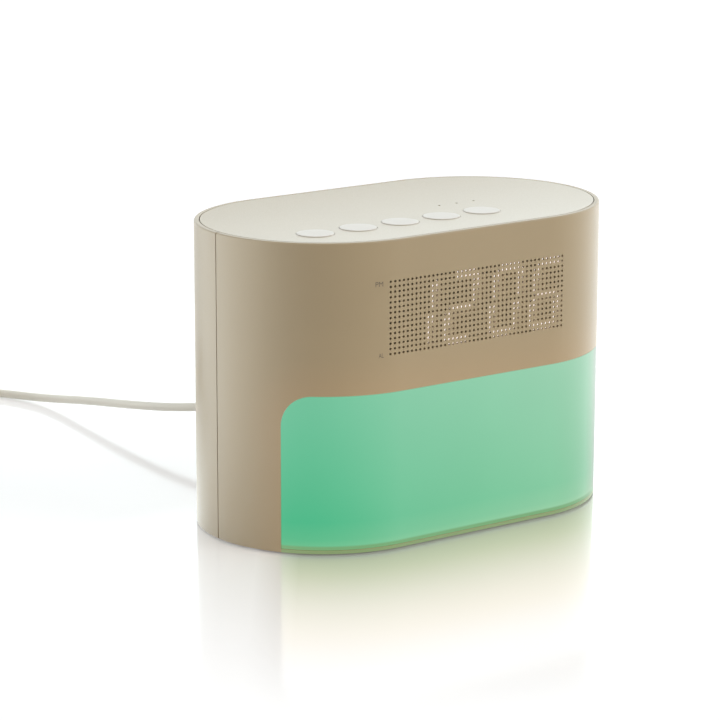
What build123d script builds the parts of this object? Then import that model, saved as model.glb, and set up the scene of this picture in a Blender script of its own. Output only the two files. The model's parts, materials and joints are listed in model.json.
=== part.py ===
from build123d import *

import os
from math import asin, cos, pi, radians, sin, sqrt, tan

os.makedirs("parts", exist_ok=True)

# A sunrise alarm clock: two casing halves that meet at an upright seam, an inset
# top panel with five push buttons, a perforated field with LED digits behind it,
# and a light diffuser that wraps round the lower front.
# Millimetres. Origin on the table under the middle of the casing, +Z up, front at -Y.

# ------------------------------------------------------------------ driving sizes
# casing
body_length = 159.4
body_depth = 92.0
body_height = 110.7
foot_stand = 0.5            # gap between the table and the casing's lower edge
wall = 1.8
rim_round = 0.6             # round along the casing's upper outer edge
foot_round = 0.3            # round along its lower outer edge
seam_gap = 0.4              # groove between the casing halves
tongue_reach = 3.0          # how far the rear half's tongue laps behind the front half
tongue_root = 4.0
tongue_thick = 1.2
fixed_gap = 0.1             # clearance between pieces fixed to each other
loose_gap = 0.3             # clearance between pieces that only lie side by side

# screws and what they go into
screw_radius = 1.25
screw_head_radius = 2.5
screw_head_thick = 1.3
screw_length = 8.0
pilot_radius = 1.3
pass_radius = 1.5           # clearance hole
boss_radius = 3.5
boss_height = 14.0
boss_bite = 0.6             # how far a boss runs into the wall behind it
boss_end = 2.0              # closed end of a boss in the light tray
small_screw_radius = 0.85
small_head_radius = 1.7
small_head_thick = 0.9
small_screw_length = 4.2
small_pilot_radius = 0.9
post_radius = 2.2           # slim posts that carry the boards

# base plate and feet
base_thick = 2.4
base_lift = 0.4             # the plate's underside above the casing's lower edge
base_gap = 0.25
foot_radius = 6.0
foot_recess = 0.5
foot_inset = 15.0           # from the casing's outer face to a foot's centre
foot_out = 8.0              # outside the centre of the casing's round end
front_boss_angle = 72.0     # round the end, from the front or the rear
rear_boss_angle = 50.0

# top panel and buttons
panel_thick = 2.0
panel_gap = 0.3
ledge_width = 2.0
ledge_thick = 1.5
panel_post_angle = 75.0
panel_post_length = 6.0
tab_thick = 4.0
tab_radius = 4.5
button_count = 5
button_pitch = 18.3
button_radius = 6.65
button_row_x = -16.0
button_row_inset = 24.6     # from the front face to the row
button_gap = 0.15
button_proud = 0.25
button_travel = 0.6
button_skin = 1.4
button_wall = 1.3
button_flange = 1.2         # how far the flange stands out under the collar
button_flange_thick = 1.0
button_edge_round = 0.3
collar_wall = 1.8
collar_depth = 2.0
collar_gap = 0.1            # between the collar and the button's flange
stem_radius = 1.5
indicator_count = 3
indicator_pitch = 7.9
indicator_x = 22.3
indicator_inset = 41.5      # from the front face
pinhole_radius = 0.55
pinhole_skin = 0.8
pipe_radius = 1.1
pipe_sleeve_radius = 2.2
pipe_sleeve_depth = 3.0

# key board and switches
pcb_thick = 1.6
switch_size = 6.0
switch_height = 2.0
switch_floor = 0.6
switch_corner = 0.5
plunger_radius = 1.6
plunger_gap = 0.08
plunger_proud = 0.8
plunger_length = 1.5
led_height = 1.0
key_board_end = 7.5         # beyond the first button and the last indicator
key_board_wall_gap = 1.0    # least distance from the casing's wall
key_board_front = 12.3      # beyond the button row
key_board_rear = 8.5        # beyond the indicators
key_post_offset = 9.3       # from the button row to the front posts
key_post_inset = 3.5        # from the board's rear edge to the rear posts
board_corner = 1.5
indicator_led_size = 2.0
key_header_y = -6.0

# perforated field
grille_columns = 43
grille_rows = 15
grille_pitch = 1.82
grille_hole_radius = 0.45
grille_web = 0.6            # wall left between the holes' field and the pocket
grille_drop = 14.55         # from the top to the first row
pocket_margin = 0.9         # round the display housing, above and below
pocket_side_margin = 1.3

# display module
housing_depth = 9.0
housing_side = 1.4          # beyond the dots on the left and the last digit on the right
housing_rim = 2.0           # above and below the digits
digit_width = 10.9          # between the centre lines of the upright bars
digit_height = 23.3         # between the centre lines of the outer level bars
bar_width = 2.3
bar_gap = 0.3
bar_depth = 3.0
digit_slant = 9.0
digit_pitch = 18.5
colon_gap = 1.3
digits_x = 3.35
digits_drop = 0.26          # digits' centre below the field's centre
dot_radius = 1.0
dot_column_gap = 2.1        # from the first digit to the column of dots
display_board_end = 4.5     # beyond the posts
display_board_rim = 1.6     # above and below the housing
display_post_gap = 2.1      # from the housing's side to the posts
display_post_inset = 4.9    # from the board's upper and lower edge
display_post_radius = 2.8
display_header_rise = 5.7   # above the board's lower edge
driver_length = 10.0
driver_width = 6.0
driver_height = 1.6
driver_columns = (0.0, 26.0)
driver_rise = 5.0           # above the field's middle

# light
lens_drop = 13.75           # from the field's last row to the diffuser's top edge
lens_bottom = 1.8
lens_seam_gap = 28.5        # along the casing's face, from the side edge to the seam
lens_corner = 11.0
lens_thick = 2.9
lens_flange = 2.5           # lip behind the casing
window_reach = 15.0         # how far the window's solid runs in and out of the wall
tray_depth = 28.0           # from the casing's face to the tray's back
tray_end_gap = 11.7         # from the casing's round end to the tray's side
tray_wall = 1.4
tray_top_margin = 3.5
tray_boss_x = 30.0
lamp_board_end_gap = 13.0   # inside the tray's sides
lamp_board_margin = 5.0     # inside its roof and floor
lamp_columns = 9
lamp_rows = 3
lamp_column_inset = 7.8     # from the board's side edges to the outer columns
lamp_row_inset = 8.6        # from its upper and lower edge to the outer rows
lamp_size = 5.0
lamp_height = 1.6
lamp_screw_inset = 4.5
lamp_wire_z = 26.0
lamp_wire_hole = 2.2
lamp_corner = 0.6

# loudspeaker
speaker_z = 62.0
speaker_size = 56.0
speaker_corner = 6.0
speaker_open_radius = 22.5
speaker_screw_inset = 3.5
speaker_lead_x = 20.0       # where the wires leave the frame
speaker_lead_drop = 25.0    # below its middle
gasket_thick = 3.0
gasket_width = 2.5
flange_thick = 1.2
basket_depth = 14.0
basket_base_radius = 17.0
basket_wall = 1.2
basket_window = 16.0
surround_roll = 1.2
magnet_radius = 18.0
magnet_thick = 9.0
pole_radius = 6.4
coil_radius = 7.0
coil_thick = 0.5
surround_width = 3.5
cone_depth = 7.0
cone_thick = 0.6
vent_radius = 0.9
vent_pitch = 4.2

# main board
main_board_end_gap = 27.7   # from the casing's round end
main_board_lift = 6.0
main_board_front_gap = 10.0  # behind the light tray
main_board_rear_gap = 8.2    # in front of the rear wall
main_screw_inset = 5.0
header_height = 6.0
header_depth = 5.0
header_width = 12.0
header_wall = 1.0
controller_size = 12.0
controller_place = (-13.0, -1.0)     # from the main board's middle
regulator_place = (14.0, -2.0)
amplifier_insets = (17.0, 18.0)      # from the board's left and right end
amplifier_rises = (0.0, 8.0)         # behind its middle
capacitor_insets = (24.0, 30.0, 6.0)  # the first from the left end, the others from the right
capacitor_row = 12.0                 # from the board's rear edge
speaker_header_inset = 16.0          # from its right end
power_header_inset = 10.0            # from its rear edge
capacitor_radius = 4.0
capacitor_height = 12.0
capacitor_round = 0.8

# lead
cord_radius = 1.65
gland_z = 22.0
gland_neck_radius = 4.0
gland_flange_radius = 5.5
gland_flange_thick = 1.5
gland_length = 16.0
gland_tip_radius = 2.4
gland_grooves = 4
gland_groove_pitch = 2.6
gland_groove_width = 0.9
gland_groove_start = 3.4    # from the rear face to the first groove
gland_groove_floor = 3.4    # radius left inside the first groove
gland_groove_taper = 0.36   # less at each groove
wire_radius = 0.65
wire_spacing = 0.9
ribbon_thick = 0.8
ribbon_width = 10.0
coil_centre = (-68.8, 233.8)
coil_inner_radius = 13.5
coil_outer_radius = 23.5
coil_height = 13.3
coil_section_round = 1.5
tie_width = 7.0
tie_thick = 0.6
tie_slack = 0.6             # between the tie and the coil's inner face
tie_angle = 65.0
grip_length = 24.0
grip_width = 15.6
grip_height = 8.0
grip_round = 2.2
plug_boot_length = 7.0
plug_boot_radius = 3.2
plug_boot_wall = 0.4        # over the lead at the boot's thin end
shell_length = 12.0          # the bare end of the plug's metal shell
shell_width = 12.0
shell_height = 4.5
shell_wall = 0.4
tongue_width = 10.6
tongue_plate = 1.8
tongue_recess = 0.5         # inside the shell's open end

# ------------------------------------------------------------------ shared places
end_radius = body_depth / 2
end_centre = (body_length - body_depth) / 2
inner_radius = end_radius - wall
base_bottom = foot_stand + base_lift
base_top = base_bottom + base_thick
panel_bottom = body_height - panel_thick
collar_bottom = panel_bottom - collar_depth
button_row_y = button_row_inset - end_radius
indicator_y = indicator_inset - end_radius
button_places = [
    (button_row_x + button_pitch * (k - (button_count - 1) / 2), button_row_y)
    for k in range(button_count)
]
indicator_places = [
    (indicator_x + indicator_pitch * (k - (indicator_count - 1) / 2), indicator_y)
    for k in range(indicator_count)
]
flange_top = collar_bottom - collar_gap
flange_bottom = flange_top - button_flange_thick
plunger_top = flange_bottom - button_travel - loose_gap
switch_top = plunger_top - plunger_proud
key_board_top = switch_top - switch_height
key_board_bottom = key_board_top - pcb_thick
key_post_places = [
    (button_places[1][0] - button_pitch / 2, button_row_y - key_post_offset),
    (button_places[-1][0] - button_pitch / 2, button_row_y - key_post_offset),
    (button_places[1][0] - button_pitch / 2, indicator_y + key_board_rear - key_post_inset),
    (button_places[-1][0] - button_pitch / 2, indicator_y + key_board_rear - key_post_inset),
]

grille_top = body_height - grille_drop
grille_bottom = grille_top - grille_pitch * (grille_rows - 1)
grille_middle = (grille_top + grille_bottom) / 2


def front_depth(radius, x):
    """How far the front of a round-ended outline of that end radius lies from y = 0 at x."""
    return sqrt(radius**2 - max(x - end_centre, 0) ** 2)


# the display's pieces, from the digits outwards
digit_slope = tan(radians(digit_slant))
digits_half = (
    1.5 * digit_pitch + (colon_gap + digit_width + bar_width + digit_height * digit_slope) / 2
)
dot_column_x = digits_x - digits_half - dot_column_gap
housing_left = dot_column_x - dot_radius - housing_side
housing_right = digits_x + digits_half + housing_side
housing_width = housing_right - housing_left
housing_x = (housing_left + housing_right) / 2
housing_height = digit_height + bar_width + 2 * housing_rim
display_post_x = housing_right + display_post_gap + display_post_radius
display_board_width = 2 * (display_post_x + display_board_end)
display_board_height = housing_height + 2 * display_board_rim
display_post_z = display_board_height / 2 - display_post_inset
display_header_z = grille_middle - display_board_height / 2 + display_header_rise
display_face = loose_gap - min(
    front_depth(end_radius - grille_web, housing_right),
    front_depth(inner_radius, display_board_width / 2) + housing_depth,
)
display_back = display_face + housing_depth
display_post_places = [
    (side * display_post_x, grille_middle + level * display_post_z)
    for side in (-1, 1)
    for level in (-1, 1)
]

lens_top = grille_bottom - lens_drop
lens_half_arc = end_centre + end_radius * pi / 2 - lens_seam_gap
tray_half_width = body_length / 2 - tray_end_gap
tray_back = tray_depth - end_radius
tray_inset = lens_thick + loose_gap
tray_top = lens_top + tray_top_margin
tray_middle = (base_top + tray_top) / 2
lamp_board_back = tray_back - tray_wall
lamp_board_front = lamp_board_back - pcb_thick
lamp_board_width = 2 * (tray_half_width - lamp_board_end_gap)
lamp_board_height = tray_top - base_top - 2 * lamp_board_margin
lamp_pitch_x = (lamp_board_width - 2 * lamp_column_inset) / (lamp_columns - 1)
lamp_pitch_z = (lamp_board_height - 2 * lamp_row_inset) / (lamp_rows - 1)
lamp_screw_places = [
    (
        side * (lamp_board_width / 2 - lamp_screw_inset),
        tray_middle + level * (lamp_board_height / 2 - lamp_screw_inset),
    )
    for side in (-1, 1)
    for level in (-1, 1)
]

rear_face = end_radius - wall
speaker_seat = rear_face - gasket_thick
basket_front = speaker_seat - flange_thick
basket_back = basket_front - basket_depth
speaker_screw_offset = speaker_size / 2 - speaker_screw_inset
cone_rim_radius = speaker_open_radius - surround_width
vent_rings = int((speaker_open_radius - vent_radius) / vent_pitch)
speaker_screw_places = [
    (side * speaker_screw_offset, speaker_z + level * speaker_screw_offset)
    for side in (-1, 1)
    for level in (-1, 1)
]

main_board_bottom = base_top + main_board_lift
main_board_top = main_board_bottom + pcb_thick
main_board_front = tray_back + main_board_front_gap
main_board_rear = rear_face - main_board_rear_gap
main_board_middle = (main_board_front + main_board_rear) / 2
main_board_half_width = body_length / 2 - main_board_end_gap
amplifier_places = [
    (amplifier_insets[0] - main_board_half_width, main_board_middle + amplifier_rises[0]),
    (main_board_half_width - amplifier_insets[1], main_board_middle + amplifier_rises[1]),
]
capacitor_places = [
    (x, main_board_rear - capacitor_row)
    for x in (
        capacitor_insets[0] - main_board_half_width,
        main_board_half_width - capacitor_insets[1],
        main_board_half_width - capacitor_insets[2],
    )
]
main_screw_places = [
    (side * (main_board_half_width - main_screw_inset), y)
    for side in (-1, 1)
    for y in (main_board_front + main_screw_inset, main_board_rear - main_screw_inset)
]


def round_the_end(angle, reach):
    """Place at `angle` degrees round the right end, from the front, `reach` from its centre."""
    return (end_centre + reach * sin(radians(angle)), -reach * cos(radians(angle)))


def both_sides(places):
    """The places and their mirror images in x."""
    return [(side * x, y) for x, y in places for side in (-1, 1)]


boss_reach = inner_radius - boss_radius + boss_bite
front_boss_places = both_sides([round_the_end(front_boss_angle, boss_reach)])
rear_boss_places = both_sides([round_the_end(180 - rear_boss_angle, boss_reach)])
tray_boss_places = both_sides([(tray_boss_x, tray_back + boss_radius - boss_bite)])
base_screw_places = front_boss_places + rear_boss_places + tray_boss_places
post_reach = inner_radius - boss_radius - panel_gap - loose_gap
front_post_places = both_sides([round_the_end(panel_post_angle, post_reach)])
rear_post_places = both_sides([round_the_end(180 - panel_post_angle, post_reach)])
foot_places = both_sides(
    [(end_centre + foot_out, level * (end_radius - foot_inset)) for level in (-1, 1)]
)
tab_top = panel_bottom - panel_post_length
tab_bottom = tab_top - tab_thick


def outline(inset, mode=Mode.ADD):
    """The clock's plan, `inset` inside its outer face."""
    return SlotOverall(body_length - 2 * inset, body_depth - 2 * inset, mode=mode)


def arc_radii(points):
    """The largest tangent arc that each corner's two runs allow."""
    route = [Vector(*point) for point in points]
    radii = []
    for before, corner, after in zip(route, route[1:], route[2:]):
        turn = radians((corner - before).get_angle(after - corner))
        shorter = min((corner - before).length, (after - corner).length)
        radii.append(0.45 * shorter / tan(turn / 2))
    return radii


def lens_window(grow, bottom):
    """The diffuser's wrap-around window, grown by `grow`, as a solid cut from `bottom` up."""
    top = lens_top + grow
    corner = lens_corner + grow
    edge_angle = (lens_half_arc + grow - end_centre) / end_radius
    corner_angle = edge_angle - asin(corner / 2 / end_radius)
    outward = Vector(sin(corner_angle), -cos(corner_angle))
    edge = Vector(end_centre + end_radius * sin(edge_angle), -end_radius * cos(edge_angle))
    inside = edge - outward * window_reach
    outside = edge + outward * window_reach
    middle = Vector(end_centre, 0) + outward * end_radius
    corner_plane = Plane(
        origin=middle, x_dir=(cos(corner_angle), sin(corner_angle), 0), z_dir=outward
    )
    with BuildPart() as window:
        with BuildSketch(Plane.XY.offset(bottom)):
            Polygon(
                (0, inside.Y),
                (inside.X, inside.Y),
                (outside.X, outside.Y),
                (outside.X, -body_depth),
                (0, -body_depth),
                align=None,
            )
        extrude(amount=top - bottom)
        with BuildSketch(corner_plane):
            with Locations((0, top - corner / 2)):
                Rectangle(corner, corner)
            with Locations((-corner / 2, top - corner)):
                Circle(corner, mode=Mode.SUBTRACT)
        extrude(amount=2 * window_reach, both=True, mode=Mode.SUBTRACT)
        mirror(about=Plane.YZ)
    return window.part


# ------------------------------------------------------------------ casing halves
with BuildPart() as casing_shell:
    with BuildSketch(Plane.XY.offset(foot_stand)):
        outline(0)
    extrude(amount=body_height - foot_stand)
    fillet(casing_shell.edges().group_by(Axis.Z)[-1], rim_round)
    fillet(casing_shell.edges().group_by(Axis.Z)[0], foot_round)
    with BuildSketch(Plane.XY.offset(foot_stand)):
        outline(wall)
    extrude(amount=body_height - foot_stand, mode=Mode.SUBTRACT)
    # ledge that the top panel rests on
    with BuildSketch(Plane.XY.offset(panel_bottom - ledge_thick)):
        outline(wall)
        outline(wall + ledge_width, mode=Mode.SUBTRACT)
        with Locations(*front_post_places, *rear_post_places):
            Circle(boss_radius + loose_gap, mode=Mode.SUBTRACT)
    extrude(amount=ledge_thick)

with BuildPart() as display_pocket:
    with BuildSketch(Plane.XY.offset(grille_middle - housing_height / 2 - pocket_margin)):
        outline(grille_web)
        with Locations((housing_x, -end_radius)):
            Rectangle(
                housing_width + 2 * pocket_side_margin, 12 * wall, mode=Mode.INTERSECT
            )
    extrude(amount=housing_height + 2 * pocket_margin)

# posts behind the front wall that carry the display board
with BuildPart() as display_posts:
    with BuildSketch(Plane.XZ.offset(-display_back)):
        with Locations(*display_post_places):
            Circle(display_post_radius)
    extrude(amount=end_radius)
    with BuildSketch():
        outline(wall / 2)
    extrude(amount=body_height, mode=Mode.INTERSECT)
    with BuildSketch(Plane.XZ.offset(-display_back)):
        with Locations(*display_post_places):
            Circle(small_pilot_radius)
    extrude(amount=small_screw_length, mode=Mode.SUBTRACT)

casing_window = lens_window(fixed_gap, lens_bottom)

with BuildPart() as front_casing:
    add(casing_shell.part)
    with BuildSketch(Plane.XY.offset(base_top)):
        with Locations(*front_boss_places):
            Circle(boss_radius)
            Circle(pilot_radius, mode=Mode.SUBTRACT)
    extrude(amount=boss_height)
    with BuildSketch(Plane.XY.offset(tab_bottom)):
        with Locations(*front_post_places):
            Circle(tab_radius)
            Circle(pass_radius, mode=Mode.SUBTRACT)
    extrude(amount=tab_thick)
    split(bisect_by=Plane.XZ.offset(seam_gap / 2), keep=Keep.TOP)
    add(casing_window, mode=Mode.SUBTRACT)
    add(display_pocket.part, mode=Mode.SUBTRACT)
    add(display_posts.part)
    with Locations(Plane.XZ.offset(end_radius)):
        with Locations((0, grille_middle)):
            with GridLocations(grille_pitch, grille_pitch, grille_columns, grille_rows):
                Cylinder(grille_hole_radius, 4 * wall, mode=Mode.SUBTRACT)
front_casing.part.label = "front_casing"
export_step(front_casing.part, "parts/front_casing.step")

# tongue behind the seam, which keeps light and dust out
with BuildPart() as seam_tongue:
    with BuildSketch(Plane.XY.offset(base_top)) as tongue_plan:
        outline(wall + fixed_gap)
        outline(wall + fixed_gap + tongue_thick, mode=Mode.SUBTRACT)
        with Locations((0, (tongue_root - tongue_reach) / 2)):
            Rectangle(2 * body_length, tongue_root + tongue_reach, mode=Mode.INTERSECT)
    extrude(amount=tab_bottom - base_top)
    with BuildSketch(Plane.XY.offset(base_top)):
        outline(wall / 2)
        outline(wall + tongue_thick, mode=Mode.SUBTRACT)
        with Locations((0, tongue_root / 2 + seam_gap)):
            Rectangle(2 * body_length, tongue_root, mode=Mode.INTERSECT)
    extrude(amount=tab_bottom - base_top)

with BuildPart() as rear_casing:
    add(casing_shell.part)
    with BuildSketch(Plane.XY.offset(base_top)):
        with Locations(*rear_boss_places):
            Circle(boss_radius)
            Circle(pilot_radius, mode=Mode.SUBTRACT)
    extrude(amount=boss_height)
    with BuildSketch(Plane.XY.offset(tab_bottom)):
        with Locations(*rear_post_places):
            Circle(tab_radius)
            Circle(pass_radius, mode=Mode.SUBTRACT)
    extrude(amount=tab_thick)
    split(bisect_by=Plane.XZ.offset(-seam_gap / 2), keep=Keep.BOTTOM)
    add(seam_tongue.part)
    # seats for the loudspeaker's screws
    with BuildSketch(Plane.XZ.offset(-speaker_seat)):
        with Locations(*speaker_screw_places):
            Circle(boss_radius)
            Circle(small_pilot_radius, mode=Mode.SUBTRACT)
    extrude(amount=-(gasket_thick + wall / 2))
    # sound openings: rings of small round holes
    with Locations(Plane.XZ.offset(-end_radius)):
        with Locations((0, speaker_z)):
            Cylinder(vent_radius, 4 * wall, mode=Mode.SUBTRACT)
            for ring in range(1, vent_rings + 1):
                with PolarLocations(ring * vent_pitch, 6 * ring):
                    Cylinder(vent_radius, 4 * wall, mode=Mode.SUBTRACT)
        with Locations((0, gland_z)):
            Cylinder(gland_neck_radius + fixed_gap, 4 * wall, mode=Mode.SUBTRACT)
rear_casing.part.label = "rear_casing"
export_step(rear_casing.part, "parts/rear_casing.step")

# ------------------------------------------------------------------ base
with BuildPart() as base_plate:
    with BuildSketch(Plane.XY.offset(base_bottom)):
        outline(wall + base_gap)
    extrude(amount=base_thick)
    with BuildSketch(Plane.XY.offset(base_bottom)):
        with Locations(*foot_places):
            Circle(foot_radius + fixed_gap)
    extrude(amount=foot_recess, mode=Mode.SUBTRACT)
    with BuildSketch(Plane.XY.offset(base_top)):
        with Locations(*main_screw_places):
            Circle(boss_radius)
            Circle(small_pilot_radius, mode=Mode.SUBTRACT)
    extrude(amount=main_board_lift)
    with Locations((0, 0, base_bottom)):
        with Locations(*base_screw_places):
            with Locations((0, 0, screw_head_thick / 2)):
                Cylinder(screw_head_radius + fixed_gap, screw_head_thick, mode=Mode.SUBTRACT)
            Cylinder(pass_radius, 3 * base_thick, mode=Mode.SUBTRACT)
base_plate.part.label = "base_plate"
export_step(base_plate.part, "parts/base_plate.step")

with BuildPart() as rubber_feet:
    with BuildSketch():
        with Locations(*foot_places):
            Circle(foot_radius)
    extrude(amount=base_bottom + foot_recess)
    chamfer(rubber_feet.edges().group_by(Axis.Z)[0], foot_round)
rubber_feet.part.label = "rubber_feet"
export_step(rubber_feet.part, "parts/rubber_feet.step")

# ------------------------------------------------------------------ top panel
with BuildPart() as top_panel:
    with BuildSketch(Plane.XY.offset(panel_bottom)):
        outline(wall + panel_gap)
    extrude(amount=panel_thick)
    with BuildSketch(Plane.XY.offset(collar_bottom)):
        with Locations(*button_places):
            Circle(button_radius + button_gap + collar_wall)
    extrude(amount=collar_depth)
    with BuildSketch(Plane.XY.offset(panel_bottom - pipe_sleeve_depth)):
        with Locations(*indicator_places):
            Circle(pipe_sleeve_radius)
    extrude(amount=pipe_sleeve_depth)
    with BuildSketch(Plane.XY.offset(key_board_top)):
        with Locations(*key_post_places):
            Circle(post_radius)
            Circle(small_pilot_radius, mode=Mode.SUBTRACT)
    extrude(amount=panel_bottom - key_board_top)
    with BuildSketch(Plane.XY.offset(tab_top)):
        with Locations(*front_post_places, *rear_post_places):
            Circle(boss_radius)
            Circle(pilot_radius, mode=Mode.SUBTRACT)
    extrude(amount=panel_post_length)
    with Locations((0, 0, panel_bottom)):
        with Locations(*button_places):
            Cylinder(button_radius + button_gap, 4 * panel_thick, mode=Mode.SUBTRACT)
        with Locations(*indicator_places):
            Cylinder(pinhole_radius, 3 * panel_thick, mode=Mode.SUBTRACT)
    with BuildSketch(Plane.XY.offset(body_height - pinhole_skin)):
        with Locations(*indicator_places):
            Circle(pipe_radius + fixed_gap)
    extrude(amount=-(panel_thick + pipe_sleeve_depth), mode=Mode.SUBTRACT)
top_panel.part.label = "top_panel"
export_step(top_panel.part, "parts/top_panel.step")

# ------------------------------------------------------------------ buttons
button_top = body_height + button_proud
for number, (x, y) in enumerate(button_places, start=1):
    with BuildPart() as button:
        with BuildSketch(Plane.XY.offset(flange_bottom)):
            with Locations((x, y)):
                Circle(button_radius + button_flange)
        extrude(amount=button_flange_thick)
        with BuildSketch(Plane.XY.offset(flange_bottom)):
            with Locations((x, y)):
                Circle(button_radius)
        extrude(amount=button_top - flange_bottom)
        fillet(button.edges().group_by(Axis.Z)[-1], button_edge_round)
        with BuildSketch(Plane.XY.offset(flange_bottom)):
            with Locations((x, y)):
                Circle(button_radius - button_wall)
                Circle(stem_radius, mode=Mode.SUBTRACT)
        extrude(amount=button_top - button_skin - flange_bottom, mode=Mode.SUBTRACT)
        with BuildSketch(Plane.XY.offset(plunger_top)):
            with Locations((x, y)):
                Circle(stem_radius)
        extrude(amount=flange_bottom - plunger_top)
    button.part.label = f"button_{number}"
    export_step(button.part, f"parts/button_{number}.step")

    with BuildPart() as switch_plunger:
        with BuildSketch(Plane.XY.offset(plunger_top)):
            with Locations((x, y)):
                Circle(plunger_radius)
        extrude(amount=-plunger_length)
    switch_plunger.part.label = f"switch_plunger_{number}"
    export_step(switch_plunger.part, f"parts/switch_plunger_{number}.step")

with BuildPart() as key_switches:
    with BuildSketch(Plane.XY.offset(key_board_top)):
        with Locations(*button_places):
            Rectangle(switch_size, switch_size)
    extrude(amount=switch_height)
    chamfer(key_switches.edges().filter_by(Axis.Z), switch_corner)
    with BuildSketch(Plane.XY.offset(switch_top)):
        with Locations(*button_places):
            Circle(plunger_radius + plunger_gap)
    extrude(amount=-(switch_height - switch_floor), mode=Mode.SUBTRACT)
key_switches.part.label = "key_switches"
export_step(key_switches.part, "parts/key_switches.step")

# ------------------------------------------------------------------ key board
key_board_left = button_places[0][0] - key_board_end
key_board_right = indicator_places[-1][0] + key_board_end
key_board_y = (button_row_y - key_board_front, indicator_y + key_board_rear)
with BuildPart() as key_board:
    with BuildSketch(Plane.XY.offset(key_board_bottom)):
        with Locations(((key_board_left + key_board_right) / 2, sum(key_board_y) / 2)):
            RectangleRounded(
                key_board_right - key_board_left, key_board_y[1] - key_board_y[0], board_corner
            )
        outline(wall + key_board_wall_gap, mode=Mode.INTERSECT)
        with Locations(*key_post_places):
            Circle(small_pilot_radius, mode=Mode.SUBTRACT)
    extrude(amount=pcb_thick)
key_board.part.label = "key_board"
export_step(key_board.part, "parts/key_board.step")

with BuildPart() as indicator_leds:
    with BuildSketch(Plane.XY.offset(key_board_top)):
        with Locations(*indicator_places):
            Rectangle(indicator_led_size, indicator_led_size)
    extrude(amount=led_height)
indicator_leds.part.label = "indicator_leds"
export_step(indicator_leds.part, "parts/indicator_leds.step")

with BuildPart() as indicator_pipes:
    with BuildSketch(Plane.XY.offset(key_board_top + led_height)):
        with Locations(*indicator_places):
            Circle(pipe_radius)
    extrude(amount=body_height - pinhole_skin - fixed_gap - key_board_top - led_height)
indicator_pipes.part.label = "indicator_pipes"
export_step(indicator_pipes.part, "parts/indicator_pipes.step")

# ------------------------------------------------------------------ display
bar_ends = {
    "a": ((-1, 1), (1, 1)),
    "b": ((1, 1), (1, 0)),
    "c": ((1, 0), (1, -1)),
    "d": ((-1, -1), (1, -1)),
    "e": ((-1, 0), (-1, -1)),
    "f": ((-1, 1), (-1, 0)),
    "g": ((-1, 0), (1, 0)),
}
shown_bars = ["bc", "abged", "abcdef", "afgecd"]     # 12:06
digits_z = grille_middle - digits_drop


def digit_x(place):
    """Middle of the digit at `place`, 0 to 3, with the colon between the second and third."""
    side = -1 if place < 2 else 1
    return digits_x + digit_pitch * (place - (len(shown_bars) - 1) / 2) + side * colon_gap / 2


def bar_outline(place, name):
    """A pointed bar of a slanted digit, as corner points in x and z."""
    (x_1, z_1), (x_2, z_2) = bar_ends[name]
    start = Vector(x_1 * digit_width / 2, z_1 * digit_height / 2)
    end = Vector(x_2 * digit_width / 2, z_2 * digit_height / 2)
    along = (end - start).normalized()
    across = Vector(-along.Y, along.X) * (bar_width / 2)
    shoulder = along * (bar_width / 2)
    start += along * bar_gap
    end -= along * bar_gap
    corners = [
        start,
        start + shoulder + across,
        end - shoulder + across,
        end,
        end - shoulder - across,
        start + shoulder - across,
    ]
    return [(digit_x(place) + p.X + p.Y * digit_slope, digits_z + p.Y) for p in corners]


lit_bars = [bar_outline(k, name) for k, names in enumerate(shown_bars) for name in names]
dark_bars = [
    bar_outline(k, name)
    for k, names in enumerate(shown_bars)
    for name in bar_ends
    if name not in names
]
colon_slope = digit_height / 4 * digit_slope
dot_places = [
    (digits_x + colon_slope, digits_z + digit_height / 4),
    (digits_x - colon_slope, digits_z - digit_height / 4),
    (dot_column_x, digits_z + digit_height / 2),
    (dot_column_x, digits_z - digit_height / 2),
]
display_plane = Plane.XZ.offset(-display_face)

with BuildPart() as display_segments_lit:
    with BuildSketch(display_plane):
        for corners in lit_bars:
            Polygon(*corners, align=None)
    extrude(amount=-bar_depth)
display_segments_lit.part.label = "display_segments_lit"
export_step(display_segments_lit.part, "parts/display_segments_lit.step")

with BuildPart() as display_segments_dark:
    with BuildSketch(display_plane):
        for corners in dark_bars:
            Polygon(*corners, align=None)
        with Locations(*dot_places):
            Circle(dot_radius)
    extrude(amount=-bar_depth)
display_segments_dark.part.label = "display_segments_dark"
export_step(display_segments_dark.part, "parts/display_segments_dark.step")

with BuildPart() as display_housing:
    with BuildSketch(display_plane):
        with Locations((housing_x, grille_middle)):
            Rectangle(housing_width, housing_height)
    extrude(amount=-housing_depth)
    with BuildSketch(display_plane):
        for corners in lit_bars + dark_bars:
            Polygon(*corners, align=None)
        with Locations(*dot_places):
            Circle(dot_radius)
    extrude(amount=-bar_depth, mode=Mode.SUBTRACT)
display_housing.part.label = "display_housing"
export_step(display_housing.part, "parts/display_housing.step")

with BuildPart() as display_board:
    with BuildSketch(Plane.XZ.offset(-display_back)):
        with Locations((0, grille_middle)):
            RectangleRounded(display_board_width, display_board_height, board_corner)
        with Locations(*display_post_places):
            Circle(small_pilot_radius, mode=Mode.SUBTRACT)
    extrude(amount=-pcb_thick)
display_board.part.label = "display_board"
export_step(display_board.part, "parts/display_board.step")

display_board_back = display_back + pcb_thick
with BuildPart() as display_drivers:
    with BuildSketch(Plane.XZ.offset(-display_board_back)):
        with Locations(*[(x, grille_middle + driver_rise) for x in driver_columns]):
            Rectangle(driver_length, driver_width)
    extrude(amount=-driver_height)
display_drivers.part.label = "display_drivers"
export_step(display_drivers.part, "parts/display_drivers.step")

# ------------------------------------------------------------------ light
diffuser_window = lens_window(0, lens_bottom + fixed_gap)
flange_window = lens_window(lens_flange, base_top + fixed_gap)

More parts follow.
